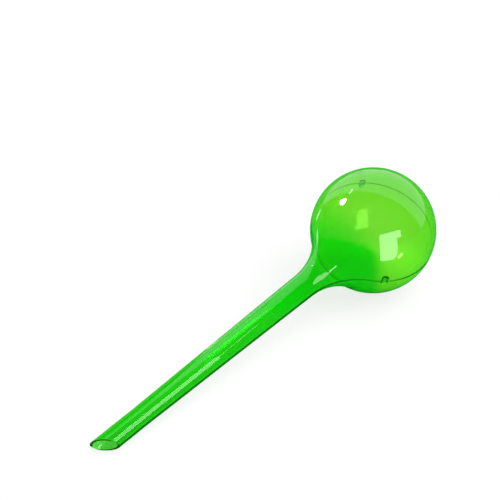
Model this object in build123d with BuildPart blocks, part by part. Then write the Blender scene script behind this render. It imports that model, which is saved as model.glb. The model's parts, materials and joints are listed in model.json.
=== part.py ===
"""Watering globe lying at rest on a table: a hollow bulb on a tapered stem, moulded as two half shells.

Millimetres, +Z up. The stem points towards -X and the bulb lies at +X, with the origin on the table under
the middle of the globe's length. The globe leans on its bulb and on the low edge of its slanted mouth.
"""
import os
from math import asin, atan2, cos, hypot, pi, radians, sin, sqrt, tan

from build123d import *

os.makedirs("parts", exist_ok=True)

# Driving dimensions of the globe
bulb_diameter = 75.0
overall_length = 263.0
neck_diameter = 15.4
spout_diameter = 11.6
spout_length = 26.0
flare_radius = 43.0
wall = 1.2

# Angle between the mouth's slanted face and the stem
mouth_angle = radians(45)

# Angle between the seam and the table, across the stem, as the globe lies
seam_tilt = radians(19)

# Lapped rims: the upper half's outer lip hangs over the lower half's inner lip
lap_depth = 0.7
lap_clearance = 0.05

# Two locating pegs of the lower half stand on the seam, opposite each other across the bulb
peg_angle = radians(52)
peg_diameter = 1.4
peg_length = 1.8
peg_clearance = 0.05
boss_diameter = 3.4
boss_height = 2.8
boss_root = 0.4

# How far the uncut stem runs past the mouth
overrun = 5.0

# Outline, measured from the middle of the bulb: x runs down the stem, y away from its axis
bulb_radius = bulb_diameter / 2
spout_radius = spout_diameter / 2
mouth_lean = 1 / tan(mouth_angle)
mouth_x = overall_length - bulb_radius - spout_radius * mouth_lean
spout_x = mouth_x - spout_length
outline_end_x = overall_length + overrun

# The flare is an arc that touches the bulb and the straight taper of the stem
flare_y = neck_diameter / 2 + flare_radius
flare_x = sqrt((bulb_radius + flare_radius) ** 2 - flare_y**2)
flare_start = atan2(flare_y, flare_x)
spout_to_flare = hypot(flare_x - spout_x, flare_y - spout_radius)
taper = pi - atan2(flare_y - spout_radius, flare_x - spout_x) - asin(flare_radius / spout_to_flare)


def edge_reach(along: float, across: float) -> float:
    """Say how far the mouth's edge reaches from its middle, in a direction in the upright plane of the stem.

    Args:
        along: the direction's share along the stem.
        across: the direction's share square to the stem, upwards.

    Returns:
        The reach, in millimetres.
    """
    slant = along * mouth_lean
    return spout_radius * hypot(across + slant * sin(seam_tilt), slant * cos(seam_tilt))


# The globe's slope, at which the bulb and the low edge of the mouth both touch the table
rest_slope = asin((bulb_radius - spout_radius) / mouth_x)
for _ in range(12):
    low_edge = edge_reach(sin(rest_slope), -cos(rest_slope))
    rest_slope = asin((bulb_radius - low_edge) / mouth_x)

# The bulb's middle stands where the globe's far ends are equally far from the origin
stem_reach = mouth_x * cos(rest_slope) + edge_reach(cos(rest_slope), sin(rest_slope))
bulb_x = (stem_reach - bulb_radius) / 2

# The seam's plane holds the stem's axis: x runs down the stem, and z points into the upper half
seam = Plane(
    origin=(bulb_x, 0, bulb_radius),
    x_dir=(-cos(rest_slope), 0, -sin(rest_slope)),
    z_dir=(-sin(rest_slope) * cos(seam_tilt), -sin(seam_tilt), cos(rest_slope) * cos(seam_tilt)),
)
stem_axis = Axis(seam.origin, seam.x_dir)
mouth = Plane(
    origin=seam.origin + seam.x_dir * mouth_x,
    z_dir=seam.x_dir * sin(mouth_angle) + seam.y_dir * cos(mouth_angle),
)


def draw_outline(inset: float) -> tuple[Vector, Vector]:
    """Draw the globe's outline on one side of its axis, as part of the line that is being drawn.

    Args:
        inset: depth under the outer surface.

    Returns:
        The outline's first point, at the far end of the bulb, and its last one, past the mouth.
    """
    ball = bulb_radius - inset
    flare = flare_radius + inset
    flare_end = -pi / 2 - taper
    flare_middle = (flare_start - pi + flare_end) / 2
    start = Vector(-ball, 0)
    ball_end = Vector(ball * cos(flare_start), ball * sin(flare_start))
    on_flare = Vector(flare_x + flare * cos(flare_middle), flare_y + flare * sin(flare_middle))
    taper_start = Vector(flare_x + flare * cos(flare_end), flare_y + flare * sin(flare_end))
    spout_start = Vector(spout_x - inset * tan(taper / 2), spout_radius - inset)
    end = Vector(outline_end_x, spout_radius - inset)
    ThreePointArc(start, Vector(0, ball), ball_end)
    ThreePointArc(ball_end, on_flare, taper_start)
    Polyline(taper_start, spout_start, end)
    return start, end


def turn_layer(outer_inset: float, inner_inset: float, half: int) -> None:
    """Turn one layer of the globe's wall a full circle about the stem's axis.

    Args:
        outer_inset: depth of the layer's outer face under the globe's surface.
        inner_inset: depth of its inner face.
        half: 1 for the upper half or -1 for the lower one, where the turn starts and ends.
    """
    with BuildSketch(Plane(seam.origin, x_dir=seam.x_dir, z_dir=-half * seam.y_dir)) as section:
        with BuildLine():
            outer_start, outer_end = draw_outline(outer_inset)
            inner_start, inner_end = draw_outline(inner_inset)
            Line(outer_start, inner_start)
            Line(outer_end, inner_end)
        make_face()
    revolve(section.sketch, axis=stem_axis)


def sketch_discs(diameter: float) -> None:
    """Sketch a disc at each locating peg."""
    reach = bulb_radius - wall + boss_root - boss_diameter / 2
    place = Vector(reach * cos(peg_angle), reach * sin(peg_angle))
    with Locations(place, -place):
        Circle(diameter / 2)


# What each half leaves free for the other's lip, a wall's thickness deeper or wider than the wall itself
with BuildPart() as inner_lip_room:
    turn_layer(wall / 2, 2 * wall, 1)
    split(bisect_by=seam, keep=Keep.BOTTOM)

with BuildPart() as outer_lip_room:
    turn_layer(-wall, wall / 2 + lap_clearance, -1)
    split(bisect_by=seam.offset(-lap_depth - lap_clearance), keep=Keep.TOP)

with BuildPart() as upper_shell:
    turn_layer(0, wall, -1)
    split(bisect_by=seam.offset(-lap_depth), keep=Keep.TOP)
    add(inner_lip_room.part, mode=Mode.SUBTRACT)
    split(bisect_by=mouth, keep=Keep.BOTTOM)
    with BuildSketch(seam):
        sketch_discs(boss_diameter)
    extrude(amount=boss_height)
    with BuildSketch(seam):
        sketch_discs(peg_diameter + 2 * peg_clearance)
    extrude(amount=peg_length + peg_clearance, mode=Mode.SUBTRACT)
upper_shell.part.label = "upper_shell"
export_step(upper_shell.part, "parts/upper_shell.step")

with BuildPart() as lower_shell:
    turn_layer(0, wall, 1)
    split(bisect_by=seam, keep=Keep.BOTTOM)
    add(outer_lip_room.part, mode=Mode.SUBTRACT)
    split(bisect_by=mouth, keep=Keep.BOTTOM)
    with BuildSketch(seam):
        sketch_discs(boss_diameter)
    extrude(amount=-boss_height)
    with BuildSketch(seam):
        sketch_discs(peg_diameter)
    extrude(amount=peg_length)
lower_shell.part.label = "lower_shell"
export_step(lower_shell.part, "parts/lower_shell.step")
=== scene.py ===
"""Watering globe of clear green plastic, lying on a white table in soft studio light.

Metres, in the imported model's frame: +Z up, the stem towards -X and the bulb at +X. Each half of the globe is
one closed piece with its own wall, and it stands for the CAD half of the same name.
"""
import json
import logging
import math
from dataclasses import dataclass
from enum import Enum

import bmesh
import bpy
import numpy as np
from mathutils import Matrix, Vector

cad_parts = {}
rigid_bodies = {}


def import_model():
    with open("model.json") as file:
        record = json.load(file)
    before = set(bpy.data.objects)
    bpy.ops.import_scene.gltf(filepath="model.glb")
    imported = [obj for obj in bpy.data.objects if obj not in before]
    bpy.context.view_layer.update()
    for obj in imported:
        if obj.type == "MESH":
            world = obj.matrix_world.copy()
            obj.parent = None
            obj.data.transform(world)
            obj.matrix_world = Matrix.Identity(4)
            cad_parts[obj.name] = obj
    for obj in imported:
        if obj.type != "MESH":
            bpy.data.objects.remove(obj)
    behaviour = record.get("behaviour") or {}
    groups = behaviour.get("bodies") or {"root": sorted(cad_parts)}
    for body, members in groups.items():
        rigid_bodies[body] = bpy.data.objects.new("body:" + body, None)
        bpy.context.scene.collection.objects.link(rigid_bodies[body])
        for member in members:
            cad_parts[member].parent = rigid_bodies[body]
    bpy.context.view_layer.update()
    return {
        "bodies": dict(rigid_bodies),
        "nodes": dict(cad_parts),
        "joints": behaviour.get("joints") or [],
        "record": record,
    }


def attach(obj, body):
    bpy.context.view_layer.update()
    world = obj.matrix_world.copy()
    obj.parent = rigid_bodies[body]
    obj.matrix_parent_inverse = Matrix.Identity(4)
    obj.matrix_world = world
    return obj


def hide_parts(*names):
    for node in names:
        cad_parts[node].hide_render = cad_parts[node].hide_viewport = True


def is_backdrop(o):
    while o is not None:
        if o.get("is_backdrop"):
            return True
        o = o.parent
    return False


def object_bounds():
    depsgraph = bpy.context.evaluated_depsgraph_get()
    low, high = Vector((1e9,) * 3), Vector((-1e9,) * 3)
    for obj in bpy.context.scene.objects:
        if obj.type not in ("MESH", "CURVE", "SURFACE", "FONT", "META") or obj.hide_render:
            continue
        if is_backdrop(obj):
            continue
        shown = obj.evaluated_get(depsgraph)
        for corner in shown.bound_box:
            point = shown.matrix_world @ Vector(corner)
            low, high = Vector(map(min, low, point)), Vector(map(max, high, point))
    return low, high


LOG = logging.getLogger("watering_globe")
MM = 0.001
PHOTO_SIDE = 500
SAME_POINT = 0.0001 * MM
FINE_STEPS = 4001
RIM_CORNERS = 32
WHITE, WARM_WHITE, GREEN_SHADE = "#FFFFFF", "#FFFDF4", "#44CC58"
# A ray's depth is a whole number: under the first it is none, and past the second the ray has gone in and out
# through the bulb's near wall
NO_BOUNCE = 0.5
NEAR_WALL_TWICE = 3.5

Colour = tuple[float, float, float, float]
Place = tuple[float, float, float]


class Half(Enum):
    """The two moulded halves, with the side of the seam that each lies on."""

    UPPER = ("upper_shell", 1)
    LOWER = ("lower_shell", -1)

    @property
    def node(self) -> str:
        """Name of the CAD node that the half stands for."""
        return self.value[0]

    @property
    def side(self) -> int:
        """1 above the seam and -1 below it."""
        return self.value[1]


class Measure(Enum):
    """How far a soft edge on the table is measured: from a place, or along a direction."""

    FROM_PLACE = "DISTANCE"
    ALONG = "DOT_PRODUCT"


def linear(hex_colour: str) -> Colour:
    """Turn a colour as it is seen on a screen into the linear values that shaders take.

    Args:
        hex_colour: sRGB colour such as "#40C020".

    Returns:
        Linear red, green, blue and an alpha of 1.
    """
    parts = np.array([int(hex_colour[i : i + 2], 16) for i in (1, 3, 5)]) / 255
    low, high = parts / 12.92, ((parts + 0.055) / 1.055) ** 2.4
    red, green, blue = np.where(parts <= 0.04045, low, high)
    return float(red), float(green), float(blue), 1.0


def grey(level: float) -> Colour:
    """Give a grey of a linear level, where 1 is white."""
    return level, level, level, 1.0


def add_node(
    tree: bpy.types.NodeTree, kind: str, links: dict[int | str, object] | None = None, **settings: str | bool
) -> bpy.types.Node:
    """Add a node to a tree, set it up and link its inputs.

    Args:
        tree: node tree that takes the node.
        kind: the node's type, without the leading "ShaderNode".
        links: for an input's name or number, the socket that feeds it or the value that it takes.
        **settings: properties of the node, such as operation="MULTIPLY".

    Returns:
        The new node.
    """
    node = tree.nodes.new("ShaderNode" + kind)
    for name, value in settings.items():
        setattr(node, name, value)
    for key, source in (links or {}).items():
        if isinstance(source, bpy.types.NodeSocket):
            tree.links.new(source, node.inputs[key])
        else:
            node.inputs[key].default_value = source
    return node


def choose_colour(
    tree: bpy.types.NodeTree,
    other: Colour,
    cases: list[tuple[bpy.types.NodeSocket, bpy.types.NodeSocket | Colour]],
) -> bpy.types.NodeSocket | Colour:
    """Choose a colour by shares from 0 to 1, where a later case goes over an earlier one.

    Args:
        tree: node tree that takes the choice.
        other: the colour where every share is 0.
        cases: for a share, such as a kind of ray, the colour that it brings in.

    Returns:
        The chosen colour.
    """
    chosen = other
    for share, colour in cases:
        mix = add_node(tree, "Mix", {"Factor": share, 6: chosen, 7: colour}, data_type="RGBA")
        chosen = mix.outputs[2]
    return chosen


def new_material(name: str) -> tuple[bpy.types.Material, bpy.types.NodeTree, bpy.types.Node]:
    """Make an empty node material.

    Args:
        name: the material's name.

    Returns:
        The material, its node tree and its output node.
    """
    material = bpy.data.materials.new(name)
    material.use_nodes = True
    tree = material.node_tree
    tree.nodes.clear()
    return material, tree, add_node(tree, "OutputMaterial")


def new_mesh_object(name: str, points: np.ndarray, faces: np.ndarray) -> bpy.types.Object:
    """Make a mesh object at the origin from arrays.

    Args:
        name: the object's name.
        points: N x 3 places in metres.
        faces: rows of corner numbers, anticlockwise from outside.

    Returns:
        The object, linked to the scene.
    """
    mesh = bpy.data.meshes.new(name)
    mesh.from_pydata(points.tolist(), [], faces.tolist())
    mesh.update()
    thing = bpy.data.objects.new(name, mesh)
    bpy.context.scene.collection.objects.link(thing)
    return thing


def direction(azimuth: float, rise: float) -> Place:
    """Turn an azimuth and a rise in degrees into a direction."""
    turn, lift = math.radians(azimuth), math.radians(rise)
    return -math.sin(turn) * math.cos(lift), math.cos(turn) * math.cos(lift), math.sin(lift)


def smooth_step(low: float, high: float, values: np.ndarray) -> np.ndarray:
    """Rise smoothly from 0 at low to 1 at high: t * t * (3 - 2 * t) of the clipped share t."""
    share = np.clip((values - low) / (high - low), 0, 1)
    return share * share * (3 - 2 * share)


def crowded(
    start: float, end: float, count: int, centres: tuple[float, ...], spread: float, height: float
) -> np.ndarray:
    """Space values so that they crowd round some centres.

    The spacing is 1 over a density, which is 1 plus a bell curve at each centre, and the values are equal
    steps of the density's running sum.

    Args:
        start: first value.
        end: last value.
        count: how many values.
        centres: where they crowd.
        spread: half width of each crowd.
        height: height of each bell curve.

    Returns:
        The values, from start to end.
    """
    fine = np.linspace(start, end, FINE_STEPS)
    density = 1 + sum(height * np.exp(-(((fine - centre) / spread) ** 2)) for centre in centres)
    run = np.concatenate([[0], np.cumsum((density[1:] + density[:-1]) / 2)])
    return np.interp(np.linspace(0, run[-1], count), run, fine)


@dataclass(frozen=True)
class Globe:
    """Sizes of the globe, as in its CAD model, and the outline that they give.

    The rows say how many points each stretch of the outline has, and how they crowd at the bosses.
    """

    bulb_radius: float = 37.5 * MM
    length: float = 263.0 * MM
    neck_radius: float = 7.7 * MM
    spout_radius: float = 5.8 * MM
    spout_length: float = 26.0 * MM
    flare_radius: float = 43.0 * MM
    wall: float = 1.2 * MM
    seam_tilt: float = math.radians(19)
    peg_angle: float = math.radians(52)
    boss_radius: float = 1.7 * MM
    boss_height: float = 2.8 * MM
    boss_reach: float = 1.8 * MM
    ball_rows: int = 150
    flare_rows: int = 60
    taper_rows: int = 50
    boss_rows_spread: float = 0.05
    boss_rows_height: float = 7.0

    @property
    def mouth_x(self) -> float:
        """Where the slanted mouth cuts the stem's axis: it leans by 45 degrees."""
        return self.length - self.bulb_radius - self.spout_radius

    @property
    def spout_x(self) -> float:
        """Where the taper ends and the straight spout starts."""
        return self.mouth_x - self.spout_length

    @property
    def flare_centre(self) -> tuple[float, float]:
        """Middle of the flare's arc, which touches the bulb and the taper."""
        across = self.neck_radius + self.flare_radius
        return math.sqrt((self.bulb_radius + self.flare_radius) ** 2 - across**2), across

    @property
    def taper(self) -> float:
        """Work out the taper: the angle of the straight line from the spout that touches the flare.

        Returns:
            How much the stem narrows on each side, in radians.
        """
        along, across = self.flare_centre
        to_spout = math.hypot(along - self.spout_x, across - self.spout_radius)
        lean = math.atan2(across - self.spout_radius, along - self.spout_x)
        return math.pi - lean - math.asin(self.flare_radius / to_spout)

    def outline(self) -> tuple[np.ndarray, np.ndarray]:
        """Follow the outer outline from the bulb's far pole to the start of the spout.

        The ball is a circle about the origin and the flare a circle about its own centre, on its inner side.
        The taper is the straight line that touches the flare. Rows crowd where the bosses of the pegs are.

        Returns:
            Two N x 2 arrays: the points, along and away from the stem's axis, and the outward normals there.
        """
        along, across = self.flare_centre
        flare_start = math.atan2(across, along)
        bosses = self.peg_angle, math.pi - self.peg_angle
        ball_end = math.pi - flare_start
        ball = crowded(0, ball_end, self.ball_rows, bosses, self.boss_rows_spread, self.boss_rows_height)
        ball_normals = np.stack([-np.cos(ball), np.sin(ball)], 1)
        turn = np.linspace(flare_start - math.pi, -math.pi / 2 - self.taper, self.flare_rows)[1:]
        flare_normals = -np.stack([np.cos(turn), np.sin(turn)], 1)
        flare = np.array([along, across]) - self.flare_radius * flare_normals
        share = np.linspace(0, 1, self.taper_rows)[1:, None]
        taper = flare[-1] * (1 - share) + np.array([self.spout_x, self.spout_radius]) * share
        taper_normals = np.tile([math.sin(self.taper), math.cos(self.taper)], (len(taper), 1))
        taper_normals[-1] = math.sin(self.taper / 2), math.cos(self.taper / 2)
        points = np.concatenate([self.bulb_radius * ball_normals, flare, taper])
        return points, np.concatenate([ball_normals, flare_normals, taper_normals])


@dataclass(frozen=True)
class SeamFrame:
    """The seam's plane: x runs down the stem, and z points into the upper half."""

    origin: np.ndarray
    x: np.ndarray
    y: np.ndarray
    z: np.ndarray

    @classmethod
    def at_rest(cls, globe: Globe, frame: dict) -> "SeamFrame":
        """Find the seam of the globe as it lies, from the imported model.

        Args:
            globe: the globe's sizes.

        Returns:
            The seam's frame.
        """
        low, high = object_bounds()
        origin = np.array([high[0] - globe.bulb_radius, 0, low[2] + globe.bulb_radius])
        stem = np.array(frame["record"]["mounts"][0]["axis"], float)
        level = np.cross([0, 0, 1], stem)
        level /= np.linalg.norm(level)
        upright = np.cross(stem, level)
        across = level * math.cos(globe.seam_tilt) - upright * math.sin(globe.seam_tilt)
        return cls(origin, stem, across, np.cross(stem, across))

    def place(self, local: np.ndarray) -> np.ndarray:
        """Turn places along the seam's own directions into places on the table."""
        return self.origin + local @ np.stack([self.x, self.y, self.z])


@dataclass
class HalfShell:
    """One moulded half of the globe: an even wall between the seam, the pole and the slanted mouth.

    Shares of a boss's radius and height say between which its sides and its end fall off. Shares of the spout
    and of the mouth's cut face say where their rows next to the rounded edges lie.
    """

    globe: Globe
    half: Half
    columns: int = 73
    spout_rows: int = 16
    last_spout_row: float = 0.985
    lip_rows: int = 7
    lip_face: tuple[float, float] = (0.1, 0.9)
    rim_round: float = 0.28 * MM
    seam_gap: float = 0.03 * MM
    groove_depth: float = 0.10 * MM
    groove_width: float = 0.30 * MM
    boss_sides: tuple[float, float] = (0.45, 1.25)
    boss_ends: tuple[float, float] = (0.75, 1.1)
    boss_face: float = 1.1

    def build(self, seam: SeamFrame) -> bpy.types.Object:
        """Build the half as one closed mesh.

        Rows run from the bulb's outer pole down the outside, round the mouth's edge and back up the inside to
        the inner pole. Columns run half a turn about the stem's axis, from one seam edge to the other. Along
        each seam edge, a face joins each step of the outside to the step of the inside beside it.

        Args:
            seam: the seam's frame.

        Returns:
            The half's object, with slot 0 on its skin and slot 1 on its seam faces.
        """
        local = self.grid()
        rows = len(local)
        number = np.arange(rows * self.columns).reshape(rows, self.columns)
        skin = np.stack([number[:-1, :-1], number[:-1, 1:], number[1:, 1:], number[1:, :-1]], -1)
        skin = skin.reshape(-1, 4)
        outside = number[: rows // 2 - 1], number[1 : rows // 2]
        inside = number[::-1][: rows // 2 - 1], number[::-1][1 : rows // 2]
        first = np.stack([outside[0][:, 0], outside[1][:, 0], inside[1][:, 0], inside[0][:, 0]], -1)
        last = np.stack([inside[0][:, -1], inside[1][:, -1], outside[1][:, -1], outside[0][:, -1]], -1)
        faces = np.concatenate([skin, first, last])
        shell = new_mesh_object(self.half.node, seam.place(local.reshape(-1, 3)), faces)
        kinds = np.zeros(len(faces), np.int32)
        kinds[len(skin) :] = 1
        shell.data.polygons.foreach_set("use_smooth", kinds == 0)
        kinds[self.on_boss(local.reshape(-1, 3)[faces].mean(1))] = 0
        shell.data.polygons.foreach_set("material_index", kinds)
        self.close_poles(shell.data)
        return shell

    def dress(self, shell: bpy.types.Object, skin: bpy.types.Material, pressed: bpy.types.Material) -> None:
        """Give the half its two plastics, and let it ride with the body in its CAD node's stead.

        Args:
            shell: the half's object.
            skin: the plastic of its surface.
            pressed: the plastic of its seam faces.
        """
        shell.data.materials.append(skin)
        shell.data.materials.append(pressed)
        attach(shell, "root")
        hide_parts(self.half.node)

    @staticmethod
    def close_poles(mesh: bpy.types.Mesh) -> None:
        """Merge the points that lie on each other at the two poles.

        Args:
            mesh: the half's mesh.
        """
        work = bmesh.new()
        work.from_mesh(mesh)
        bmesh.ops.remove_doubles(work, verts=work.verts, dist=SAME_POINT)
        work.to_mesh(mesh)
        work.free()
        mesh.update()

    def grid(self) -> np.ndarray:
        """Work out the half's surface in the seam's frame.

        The angle about the axis follows half a cosine wave, which crowds columns at the seam.

        Returns:
            Rows x columns x 3 places.
        """
        spread = np.linspace(0, math.pi, self.columns)
        angle = math.pi * (1 - np.cos(spread)) / 2
        if self.half is Half.LOWER:
            angle = angle - math.pi
        points, normals = self.globe.outline()
        outer = self.sweep(points, normals, angle, 0.0)
        inner = self.sweep(points, normals, angle, self.globe.wall)
        outer_end = self.spout(angle, self.globe.spout_radius)
        inner_end = self.spout(angle, self.globe.spout_radius - self.globe.wall)
        outer = self.with_groove(np.concatenate([outer, outer_end]), normals, angle)
        inner = self.with_bosses(np.concatenate([inner, inner_end]))
        lip = self.lip(outer[-1], inner[-1], angle)
        local = np.concatenate([outer, lip, inner[::-1]])
        local[..., 2] += self.half.side * self.seam_gap / 2
        return local

    @staticmethod
    def sweep(points: np.ndarray, normals: np.ndarray, angle: np.ndarray, depth: float) -> np.ndarray:
        """Carry an outline about the axis: x stays, and the distance from the axis turns through the angle.

        Args:
            points: N x 2 outline.
            normals: N x 2 outward normals.
            angle: the columns' angles.
            depth: how far under the outline the surface lies.

        Returns:
            N x columns x 3 places.
        """
        along, across = (points - depth * normals).T
        across = np.maximum(across, 0)[:, None]
        x = np.broadcast_to(along[:, None], (len(points), len(angle)))
        return np.stack([x, across * np.cos(angle), across * np.sin(angle)], -1)

    def spout(self, angle: np.ndarray, radius: float) -> np.ndarray:
        """Carry a straight tube to the slanted mouth.

        The mouth cuts the column at angle a where x is mouth_x - radius * cos(a).

        Args:
            angle: the columns' angles.
            radius: the tube's radius.

        Returns:
            Rows x columns x 3 places, from just past the spout's start to just short of the mouth's edge.
        """
        even = np.linspace(0, 1, self.spout_rows)[1:-1]
        share = np.concatenate([even, [self.last_spout_row, 1]])[:, None]
        end = self.globe.mouth_x - radius * np.cos(angle) - self.rim_round
        x = self.globe.spout_x * (1 - share) + end * share
        flat = np.ones_like(x)
        return np.stack([x, flat * radius * np.cos(angle), flat * radius * np.sin(angle)], -1)

    def lip(self, outer: np.ndarray, inner: np.ndarray, angle: np.ndarray) -> np.ndarray:
        """Round the mouth's cut face from the outside of the wall to its inside.

        Each rounded edge is a quadratic curve from the wall over the sharp corner onto the cut face.

        Args:
            outer: the last row of the outside.
            inner: the last row of the inside.
            angle: the columns' angles.

        Returns:
            Rows x columns x 3 places, an even number of rows.
        """
        globe = self.globe
        ring = np.stack([-np.cos(angle), np.cos(angle), np.sin(angle)], -1)
        corners = [np.array([globe.mouth_x, 0, 0]) + globe.spout_radius * ring]
        corners.append(corners[0] - globe.wall * ring)
        over = corners[1] - corners[0]
        over /= np.linalg.norm(over, axis=-1, keepdims=True)
        share = np.linspace(0, 1, self.lip_rows)[1:, None, None]
        rounds = []
        for corner, start, sense in ((corners[0], outer, 1), (corners[1], inner, -1)):
            end = corner + sense * self.rim_round * over
            rounds.append((1 - share) ** 2 * start + 2 * share * (1 - share) * corner + share**2 * end)
        face = np.array(self.lip_face)[:, None, None]
        middle = rounds[0][-1] + face * (rounds[1][-1] - rounds[0][-1])
        return np.concatenate([rounds[0], middle, rounds[1][::-1]])

    def with_groove(self, outer: np.ndarray, normals: np.ndarray, angle: np.ndarray) -> np.ndarray:
        """Sink the outside along the seam, where the rounded edges of the two halves meet.

        The depth is a bell curve of the distance from the seam's plane.

        Args:
            outer: the outside's places.
            normals: the outline's normals, to the spout's start.
            angle: the columns' angles.

        Returns:
            The places, sunk along the seam.
        """
        spout_rows = len(outer) - len(normals)
        normals = np.concatenate([normals, np.tile([0.0, 1.0], (spout_rows, 1))])
        away = normals[:, 1:, None] * np.stack([np.zeros_like(angle), np.cos(angle), np.sin(angle)], -1)
        away[..., 0] += normals[:, :1]
        depth = self.groove_depth * np.exp(-((outer[..., 2] / self.groove_width) ** 2))
        return outer - depth[..., None] * away

    def peg_line(self) -> tuple[np.ndarray, np.ndarray]:
        """Give the direction from the bulb's middle to the first peg, and the one across it in the seam."""
        along, across = math.cos(self.globe.peg_angle), math.sin(self.globe.peg_angle)
        return np.array([along, across, 0]), np.array([-across, along, 0])

    def on_boss(self, places: np.ndarray) -> np.ndarray:
        """Tell which places on the seam lie at a locating boss, whose two pressed faces are clear.

        Args:
            places: N x 3 places in the seam's frame.

        Returns:
            N truth values.
        """
        toward, sideways = self.peg_line()
        beside = np.abs(places @ sideways) < self.boss_face * self.globe.boss_radius
        return beside & (np.abs(places @ toward) > self.globe.bulb_radius / 2)

    def with_bosses(self, inner: np.ndarray) -> np.ndarray:
        """Raise the two bosses of the locating pegs on the inside, where the wall meets the seam.

        Each boss stands out towards the bulb's middle, and falls off smoothly to its sides and away from the
        seam.

        Args:
            inner: the inside's places.

        Returns:
            The places, with the bosses.
        """
        globe = self.globe
        sides = [share * globe.boss_radius for share in self.boss_sides]
        ends = [share * globe.boss_height for share in self.boss_ends]
        first, sideways = self.peg_line()
        for toward in (first, -first):
            across = 1 - smooth_step(*sides, np.abs(inner @ sideways))
            deep = 1 - smooth_step(*ends, np.abs(inner[..., 2]))
            rise = globe.boss_reach * across * deep * (inner @ toward > globe.bulb_radius / 2)
            inner = inner - rise[..., None] * toward
        return inner


@dataclass(frozen=True)
class ClearGreenPlastic:
    """Injection-moulded clear plastic with a green dye: glossy, see-through and of a deeper tint towards the
    stem.

    The dye is in the plastic's depth, so a wall that is seen along its length is dark and the middle is pale.
    The base tint deepens over the bulb's neck side and down the stem. This is partly the stem's own deeper
    green and partly painted shade, which stands for the green shade seen through the neck. Slow waves of the
    mould's polish bend the reflections a little.
    """

    name: str = "clear_green_plastic"
    bulb_tint: str = "#F8FFF4"
    # Deeper tint of the neck side and stem: partly the stem's own green, partly painted shade
    stem_tint_and_shade: str = "#90FFB0"
    stem_tint_and_shade_starts: float = 19 * MM
    stem_tint_and_shade_full: float = 34 * MM
    dye: str = "#D1F980"
    dye_density: float = 1700.0
    ior: float = 1.5
    polish_roughness: float = 0.01
    wave_length: float = 26.3 * MM
    wave_detail: float = 1.0
    wave_roughness: float = 0.35
    wave_strength: float = 0.04
    wave_height: float = 0.25 * MM

    def make(self, seam: SeamFrame) -> bpy.types.Material:
        """Make the material.

        Args:
            seam: the seam's frame, whose x runs down the stem from the bulb's middle.

        Returns:
            The material.
        """
        material, tree, output = new_material(self.name)
        place = add_node(tree, "TexCoord").outputs["Object"]
        middle, stem = tuple(seam.origin), tuple(seam.x)
        offset = add_node(tree, "VectorMath", {0: place, 1: middle}, operation="SUBTRACT")
        along = add_node(tree, "VectorMath", {0: offset.outputs[0], 1: stem}, operation="DOT_PRODUCT")
        span = {
            "Value": along.outputs["Value"],
            "From Min": self.stem_tint_and_shade_starts,
            "From Max": self.stem_tint_and_shade_full,
        }
        on_stem = add_node(tree, "MapRange", span, interpolation_type="SMOOTHSTEP").outputs[0]
        # Partly painted shade: the base tint deepens from the bulb's neck side down the stem
        tint = choose_colour(tree, linear(self.bulb_tint), [(on_stem, linear(self.stem_tint_and_shade))])
        noise = {
            "Vector": place,
            "Scale": 1 / self.wave_length,
            "Detail": self.wave_detail,
            "Roughness": self.wave_roughness,
        }
        waves = add_node(tree, "TexNoise", noise)
        height = {
            "Height": waves.outputs["Fac"],
            "Strength": self.wave_strength,
            "Distance": self.wave_height,
        }
        bump = add_node(tree, "Bump", height)
        gloss = {
            "Base Color": tint,
            "Roughness": self.polish_roughness,
            "IOR": self.ior,
            "Transmission Weight": 1.0,
            "Normal": bump.outputs[0],
        }
        surface = add_node(tree, "BsdfPrincipled", gloss)
        dye = add_node(tree, "VolumeAbsorption", {"Color": linear(self.dye), "Density": self.dye_density})
        tree.links.new(surface.outputs[0], output.inputs["Surface"])
        tree.links.new(dye.outputs[0], output.inputs["Volume"])
        return material


@dataclass(frozen=True)
class SeamPlastic:
    """Pressed faces of the seam, matt from the weld, which show as a fine dark line through the wall."""

    name: str = "pressed_seam_plastic"
    colour: str = "#2AAA2C"
    roughness: float = 0.5

    def make(self) -> bpy.types.Material:
        """Make the material.

        Returns:
            The material.
        """
        material, tree, output = new_material(self.name)
        finish = {"Base Color": linear(self.colour), "Roughness": self.roughness}
        surface = add_node(tree, "BsdfPrincipled", finish)
        tree.links.new(surface.outputs[0], output.inputs["Surface"])
        return material


@dataclass(frozen=True)
class SoftEdge:
    """Edge over which light on the table fades from full to none, at two lengths in metres."""

    measure: Measure
    vector: Place
    full: float
    none: float

    def share(self, tree: bpy.types.NodeTree, place: bpy.types.NodeSocket) -> bpy.types.NodeSocket:
        """Work out how much light is left at a place, from 1 to 0.

        Args:
            tree: the paper's node tree.
            place: the place's socket.

        Returns:
            The share's socket.
        """
        length = add_node(tree, "VectorMath", {0: place, 1: self.vector}, operation=self.measure.value)
        ends = {
            "Value": length.outputs["Value"],
            "From Min": self.full,
            "From Max": self.none,
            "To Min": 1.0,
            "To Max": 0.0,
        }
        return add_node(tree, "MapRange", ends, interpolation_type="SMOOTHSTEP").outputs[0]


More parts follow.
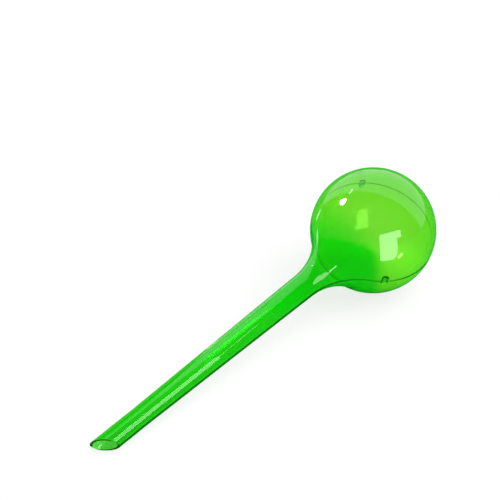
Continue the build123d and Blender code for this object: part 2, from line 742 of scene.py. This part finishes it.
@dataclass(frozen=True)
class TablePaper:
    """Matt white paper, which stays white to the camera and keeps the globe's faint shadow.

    A green pool, with a straight edge, and a bright patch towards the camera's right are painted on it as
    glow:
    painted light that stands for the light coming down through the bulb. Both show only through the globe.

    Attributes:
        name: the material's name.
        white: share of the room's light that the paper gives back.
        seen_paper: the same as the camera finds it, which is what the shadow takes away.
        seen_glow: light that brings the seen paper up to white.
        through_paper: share of the light that the paper gives back through the globe.
        through_glow: light that the paper has of its own through the globe.
        painted_patch_glow: the same at the bright patch, which is painted light.
        painted_pool_paper: the paper's colour in the green pool of painted light.
        painted_pool_glow: the colour of the painted light in the green pool.
        mirrored_shade: painted green shade, the paper's colour to a mirrored ray, beside the globe's green.
        painted_pool_rim: round edge of the painted pool.
        painted_pool_side: straight edge of the painted pool.
        painted_patch_rim: round edge of the painted bright patch.
    """

    name: str = "white_table_paper"
    white: float = 0.96
    seen_paper: float = 0.25
    seen_glow: float = 0.79
    through_paper: float = 0.54
    through_glow: float = 0.42
    painted_patch_glow: float = 0.76
    painted_pool_paper: str = "#59AA45"
    painted_pool_glow: str = "#00C500"
    mirrored_shade: str = GREEN_SHADE
    painted_pool_rim: SoftEdge = SoftEdge(Measure.FROM_PLACE, (0.075, 0.024, 0.0), full=0.041, none=0.049)
    painted_pool_side: SoftEdge = SoftEdge(Measure.ALONG, (0.66, -0.75, 0.0), full=0.061, none=0.071)
    painted_patch_rim: SoftEdge = SoftEdge(Measure.FROM_PLACE, (0.110, 0.0, 0.0), full=0.005, none=0.045)

    def make(self) -> bpy.types.Material:
        """Make the material.

        Returns:
            The material.
        """
        material, tree, output = new_material(self.name)
        path = add_node(tree, "LightPath")
        seen, through = path.outputs["Is Camera Ray"], path.outputs["Is Transmission Ray"]
        glossy = path.outputs["Is Glossy Ray"]
        mirrored = add_node(tree, "Math", {0: glossy, 1: through}, operation="SUBTRACT").outputs[0]
        place = add_node(tree, "TexCoord").outputs["Object"]
        # Painted light: a green pool and a bright patch on the paper, which show only through the globe
        rim, side = self.painted_pool_rim.share(tree, place), self.painted_pool_side.share(tree, place)
        patch = self.painted_patch_rim.share(tree, place)
        pool = add_node(tree, "Math", {0: rim, 1: side}, operation="MULTIPLY").outputs[0]
        paper_through = choose_colour(tree, grey(self.through_paper), [(pool, linear(self.painted_pool_paper))])
        lights = [(patch, grey(self.painted_patch_glow)), (pool, linear(self.painted_pool_glow))]
        glow_through = choose_colour(tree, grey(self.through_glow), lights)
        # Painted shade: mirrored rays find the paper green
        papers = [
            (mirrored, linear(self.mirrored_shade)),
            (through, paper_through),
            (seen, grey(self.seen_paper)),
        ]
        paper = add_node(tree, "BsdfDiffuse", {"Color": choose_colour(tree, grey(self.white), papers)})
        glows = [(through, glow_through), (seen, grey(self.seen_glow))]
        light = choose_colour(tree, grey(0.0), glows)
        glow = add_node(tree, "Emission", {"Color": light, "Strength": 1.0})
        both = add_node(tree, "AddShader", {0: paper.outputs[0], 1: glow.outputs[0]})
        tree.links.new(both.outputs[0], output.inputs["Surface"])
        material.cycles.emission_sampling = "NONE"
        return material


@dataclass(frozen=True)
class BrightSide:
    """Bright side of the room, whose light falls off with the angle from its middle.

    The edge holds two cosines of that angle, where the light is low and where it is full, and the levels are
    its strengths there. Azimuth and rise are in degrees.
    """

    azimuth: float
    rise: float
    edge: tuple[float, float]
    levels: tuple[float, float]

    def strength(self, tree: bpy.types.NodeTree, where: bpy.types.NodeSocket) -> bpy.types.NodeSocket:
        """Work out the light's strength in a direction.

        Args:
            tree: the world's node tree.
            where: the direction's socket.

        Returns:
            The strength's socket.
        """
        middle = direction(self.azimuth, self.rise)
        facing = add_node(tree, "VectorMath", {0: where, 1: middle}, operation="DOT_PRODUCT")
        ends = {
            "Value": facing.outputs["Value"],
            "From Min": self.edge[0],
            "From Max": self.edge[1],
            "To Min": self.levels[0],
            "To Max": self.levels[1],
        }
        return add_node(tree, "MapRange", ends, interpolation_type="SMOOTHSTEP").outputs[0]


@dataclass(frozen=True)
class Surroundings:
    """Light of the room: white to the camera, a bright wall in the gloss, a key light for matt surfaces."""

    name: str = "studio_surroundings"
    wall: BrightSide = BrightSide(azimuth=-66, rise=10, edge=(0.36, 0.44), levels=(0.08, 1.5))
    key: BrightSide = BrightSide(azimuth=-150, rise=60, edge=(0.76, 0.88), levels=(0.32, 3.6))

    def make(self) -> bpy.types.World:
        """Make the world.

        Returns:
            The world.
        """
        world = bpy.data.worlds.new(self.name)
        world.use_nodes = True
        tree = world.node_tree
        tree.nodes.clear()
        output = add_node(tree, "OutputWorld")
        where = add_node(tree, "TexCoord").outputs["Generated"]
        wall, key = self.wall.strength(tree, where), self.key.strength(tree, where)
        path = add_node(tree, "LightPath")
        through, glossy = path.outputs["Is Transmission Ray"], path.outputs["Is Glossy Ray"]
        matt = path.outputs["Diffuse Depth"]
        seen = add_node(tree, "Math", {0: path.outputs["Is Camera Ray"], 1: through}, operation="MAXIMUM")
        mirrored = add_node(tree, "Math", {0: glossy, 1: through}, operation="SUBTRACT")
        fresh = add_node(tree, "Math", {0: matt, 1: NO_BOUNCE}, operation="LESS_THAN")
        clear = add_node(tree, "Math", {0: seen.outputs[0], 1: fresh.outputs[0]}, operation="MULTIPLY")
        room = add_node(tree, "Mix", {"Factor": mirrored.outputs[0], 2: key, 3: wall}, data_type="FLOAT")
        white = {"Factor": clear.outputs[0], 2: room.outputs[0], 3: 1.0}
        strength = add_node(tree, "Mix", white, data_type="FLOAT")
        light = add_node(tree, "Background", {"Strength": strength.outputs[0]})
        tree.links.new(light.outputs[0], output.inputs["Surface"])
        return world


@dataclass(frozen=True)
class Glow:
    """Light that only mirrored rays meet, so that it shows in the gloss and isn't seen through the globe.

    Attributes:
        name: the material's name.
        strength: how bright it is, where 1 is white.
        colour: its colour.
        inside: its strength and colour as the bulb's far wall mirrors it, before the dye takes most of it.
        one_sided: whether its back stays dark.
        reach: the longest ray that still meets it at the origin, so that it can't show where the photograph
            has no trace of it.
        reach_slope: what each metre along X, Y and Z adds to the reach.
        as_lamp: whether the renderer looks for it as it looks for a lamp.
    """

    name: str
    strength: float
    colour: str
    inside: tuple[float, str] | None = None
    one_sided: bool = False
    reach: float | None = None
    reach_slope: Place = (0.0, 0.0, 0.0)
    as_lamp: bool = True

    def make(self) -> bpy.types.Material:
        """Make the material, which a ray finds after a mirror and before any matt surface.

        Returns:
            The material.
        """
        material, tree, output = new_material(self.name)
        path = add_node(tree, "LightPath")
        through = path.outputs["Transmission Depth"]
        shown = add_node(tree, "Math", {0: through, 1: NO_BOUNCE}, operation="LESS_THAN").outputs[0]
        if self.reach:
            close = self.within_reach(tree, path.outputs["Ray Length"])
            shown = add_node(tree, "Math", {0: shown, 1: close}, operation="MULTIPLY").outputs[0]
        if self.one_sided:
            back = add_node(tree, "NewGeometry").outputs["Backfacing"]
            front = add_node(tree, "Math", {0: shown, 1: back}, operation="SUBTRACT", use_clamp=True)
            shown = front.outputs[0]
        strength, colour = self.strength, linear(self.colour)
        if self.inside:
            twice = {0: through, 1: NEAR_WALL_TWICE}
            walls = add_node(tree, "Math", twice, operation="GREATER_THAN").outputs[0]
            shown = add_node(tree, "Math", {0: shown, 1: walls}, operation="ADD").outputs[0]
            levels = {"Factor": walls, 2: strength, 3: self.inside[0]}
            strength = add_node(tree, "Mix", levels, data_type="FLOAT").outputs[0]
            colour = choose_colour(tree, colour, [(walls, linear(self.inside[1]))])
        bounces, matt = path.outputs["Glossy Depth"], path.outputs["Diffuse Depth"]
        bounced = add_node(tree, "Math", {0: bounces, 1: NO_BOUNCE}, operation="GREATER_THAN")
        direct = add_node(tree, "Math", {0: matt, 1: NO_BOUNCE}, operation="LESS_THAN")
        mirrored = add_node(tree, "Math", {0: bounced.outputs[0], 1: direct.outputs[0]}, operation="MULTIPLY")
        share = add_node(tree, "Math", {0: mirrored.outputs[0], 1: shown}, operation="MULTIPLY")
        clear = add_node(tree, "BsdfTransparent")
        glow = add_node(tree, "Emission", {"Color": colour, "Strength": strength})
        mixed = add_node(tree, "MixShader", {0: share.outputs[0], 1: clear.outputs[0], 2: glow.outputs[0]})
        tree.links.new(mixed.outputs[0], output.inputs["Surface"])
        if not self.as_lamp:
            material.cycles.emission_sampling = "NONE"
        return material

    def within_reach(self, tree: bpy.types.NodeTree, length: bpy.types.NodeSocket) -> bpy.types.NodeSocket:
        """Tell whether a ray is short enough to meet the glow: shorter than the reach plus slope times place.

        Args:
            tree: the material's node tree.
            length: the ray's length.

        Returns:
            The answer's socket, 0 or 1.
        """
        place = add_node(tree, "TexCoord").outputs["Object"]
        slope = add_node(tree, "VectorMath", {0: place, 1: self.reach_slope}, operation="DOT_PRODUCT")
        longest = add_node(tree, "Math", {0: slope.outputs["Value"], 1: self.reach}, operation="ADD")
        return add_node(tree, "Math", {0: length, 1: longest.outputs[0]}, operation="LESS_THAN").outputs[0]


@dataclass(frozen=True)
class Card:
    """Flat card, or green cloth of painted shade, that shows in the gloss.

    Its corners are in millimetres, anticlockwise from the side that glows.
    """

    name: str
    corners: tuple[Place, ...]
    glow: Glow

    def rim(self) -> np.ndarray:
        """Give the corners in metres, as N x 3."""
        return np.array(self.corners) * MM


@dataclass(frozen=True)
class Lamp:
    """Round or oval lamp, or green cloth of painted shade, that shows in the gloss and faces the bulb's
    middle.

    Azimuth and rise say in degrees where it is from the bulb's middle, and away how far in metres.
    """

    name: str
    azimuth: float
    rise: float
    away: float
    half_width: float
    half_height: float
    glow: Glow

    def rim(self, middle: np.ndarray) -> np.ndarray:
        """Work out the lamp's rim, an ellipse across the line from the bulb's middle.

        Args:
            middle: the bulb's middle.

        Returns:
            N x 3 corners in metres.
        """
        ahead = np.array(direction(self.azimuth, self.rise))
        side = np.cross(ahead, [0, 0, 1])
        side /= np.linalg.norm(side)
        top = np.cross(side, ahead)
        turn = np.linspace(0, 2 * math.pi, RIM_CORNERS + 1)[:-1, None]
        rim = self.half_width * np.cos(turn) * side + self.half_height * np.sin(turn) * top
        return middle + self.away * ahead + rim


# The cards make the pale patches on the bulb, its rim, its neck and the stem. The green cloths are glowing
# green sheets of painted shade, seen in the gloss alone, which keep the bright room out of the stem and the
# round lamp out of the neck
PAINTED_SHADE_CLOTH = Glow("painted_shade_cloth", 0.9, GREEN_SHADE, as_lamp=False)
CARDS = (
    Card(
        "light_card",
        (
            (9, -97, 100),
            (86, -97, 88),
            (84, -97, 67),
            (71, -97, 69),
            (68, -97, 34),
            (62, -97, 14),
            (15, -97, 1),
        ),
        Glow(
            "light_card_glow",
            6.5,
            WARM_WHITE,
            inside=(28.0, "#B77AFF"),
            reach=0.1027,
            reach_slope=(-0.364, 0.0, 0.071),
        ),
    ),
    Card(
        "stem_card",
        ((-54, -230, 235), (-8, -76, 101), (-8, -76, 39), (-54, -230, 30)),
        Glow("stem_card_glow", 7.0, "#CDFFC4", one_sided=True),
    ),
    Card(
        "low_card",
        ((50, 200, 0), (70, 200, 0), (70, 200, 38), (56, 200, 38)),
        Glow("low_card_glow", 2.6, WHITE),
    ),
    Card(
        "neck_card",
        (
            (43.1, -40.9, 33),
            (38.8, -49.8, 48),
            (37, -53.5, 70),
            (40.3, -46.6, 84),
            (44.7, -37.6, 61),
            (46, -34.7, 42),
            (46, -34.7, 35),
        ),
        Glow("neck_card_glow", 4.5, WARM_WHITE, one_sided=True),
    ),
    Card(
        "slim_card",
        ((-12, -68.4, 57), (-12, -68.4, 65), (10, -44.8, 65.5), (10, -44.8, 58)),
        Glow("slim_card_glow", 3.0, WARM_WHITE, one_sided=True),
    ),
    # Green cloths of painted shade, which the gloss alone shows
    Card(
        "stem_flag",
        ((-34, -25, 0), (40.5, -25, 0), (40.5, -25, 66), (27, -25, 66), (8, -25, 42), (-34, -25, 33)),
        PAINTED_SHADE_CLOTH,
    ),
    Card("neck_flag", ((42.6, -25, 0), (60, -25, 0), (60, -25, 60), (42.6, -25, 60)), PAINTED_SHADE_CLOTH),
    Card("back_flag", ((-160, 40, 0), (-160, 40, 130), (-75, 40, 130), (-15, 40, 0)), PAINTED_SHADE_CLOTH),
)
LAMPS = (
    # A small cloth of painted shade that hides the round lamp's image in the neck
    Lamp(
        "lamp_flag",
        azimuth=50.2,
        rise=31.5,
        away=0.0969,
        half_width=0.0095,
        half_height=0.0095,
        glow=PAINTED_SHADE_CLOTH,
    ),
    Lamp(
        "round_lamp",
        azimuth=24.6,
        rise=39.9,
        away=0.6,
        half_width=0.054,
        half_height=0.050,
        glow=Glow("round_lamp_glow", 540.0, WHITE, inside=(170.0, "#9A52FF")),
    ),
    Lamp(
        "long_lamp",
        azimuth=1.0,
        rise=48.0,
        away=0.6,
        half_width=0.050,
        half_height=0.009,
        glow=Glow("long_lamp_glow", 20.0, WHITE, reach=0.61),
    ),
)


@dataclass
class Studio:
    """White table, light of the room, cards, lamps and green cloths of painted shade for the reflections, and
    the camera.
    """

    globe: Globe
    seam: SeamFrame
    table_half: float = 6.0
    azimuth: float = math.radians(-46.45)
    elevation: float = math.radians(34.1)
    focal_pixels: float = 1700.0
    bulb_pixel: tuple[float, float] = (373.0, 230.3)
    bulb_radius_pixels: float = 62.9
    sensor: float = 36.0
    clip_end: float = 20.0

    def build(self) -> None:
        """Build the studio."""
        self.add_table()
        bpy.context.scene.world = Surroundings().make()
        for card in CARDS:
            self.hang(card.name, card.rim(), card.glow)
        for lamp in LAMPS:
            self.hang(lamp.name, lamp.rim(self.seam.origin), lamp.glow)
        self.add_camera()
        bpy.context.scene.view_settings.view_transform = "Standard"

    def add_table(self) -> None:
        """Lay the wide white table."""
        half = self.table_half
        points = np.array([[-half, -half, 0], [half, -half, 0], [half, half, 0], [-half, half, 0]])
        table = new_mesh_object("white_table", points, np.array([[0, 1, 2, 3]]))
        table.data.materials.append(TablePaper().make())
        table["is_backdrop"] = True

    @staticmethod
    def hang(name: str, rim: np.ndarray, glow: Glow) -> None:
        """Hang a flat panel that casts no shadow and shows in the gloss alone.

        Args:
            name: the panel's name.
            rim: N x 3 corners in metres.
            glow: its light.
        """
        material = bpy.data.materials.get(glow.name) or glow.make()
        panel = new_mesh_object(name, rim, np.arange(len(rim))[None])
        panel.data.materials.append(material)
        panel.visible_camera = False
        panel.visible_diffuse = False
        panel.visible_shadow = False
        panel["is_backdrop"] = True

    def add_camera(self) -> None:
        """Stand the camera where the bulb has the photograph's place and size in its frame."""
        look = np.array([-math.sin(self.azimuth), math.cos(self.azimuth), 0])
        right = np.array([math.cos(self.azimuth), math.sin(self.azimuth), 0])
        up = look * math.sin(self.elevation) + np.array([0, 0, math.cos(self.elevation)])
        back = np.cross(right, up)
        across, down = (np.array(self.bulb_pixel) - PHOTO_SIDE / 2) / self.focal_pixels
        away = self.focal_pixels * self.globe.bulb_radius / self.bulb_radius_pixels
        depth = away / math.sqrt(1 + across**2 + down**2)
        place = self.seam.origin + depth * (back - across * right + down * up)
        data = bpy.data.cameras.new("camera")
        data.sensor_width = self.sensor
        data.lens = self.focal_pixels * self.sensor / PHOTO_SIDE
        data.clip_end = self.clip_end
        camera = bpy.data.objects.new("camera", data)
        turn = Matrix(np.stack([right, up, back], 1).tolist()).to_4x4()
        camera.matrix_world = Matrix.Translation(place.tolist()) @ turn
        bpy.context.scene.collection.objects.link(camera)
        bpy.context.scene.camera = camera


def main() -> None:
    logging.basicConfig(level=logging.INFO, format="%(name)s: %(message)s")
    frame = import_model()
    globe = Globe()
    seam = SeamFrame.at_rest(globe, frame)
    skin = ClearGreenPlastic().make(seam)
    pressed = SeamPlastic().make()
    for half in Half:
        maker = HalfShell(globe, half)
        shell = maker.build(seam)
        maker.dress(shell, skin, pressed)
        LOG.info("%s: %d faces", shell.name, len(shell.data.polygons))
    Studio(globe, seam).build()


if __name__ == "__main__":
    main()
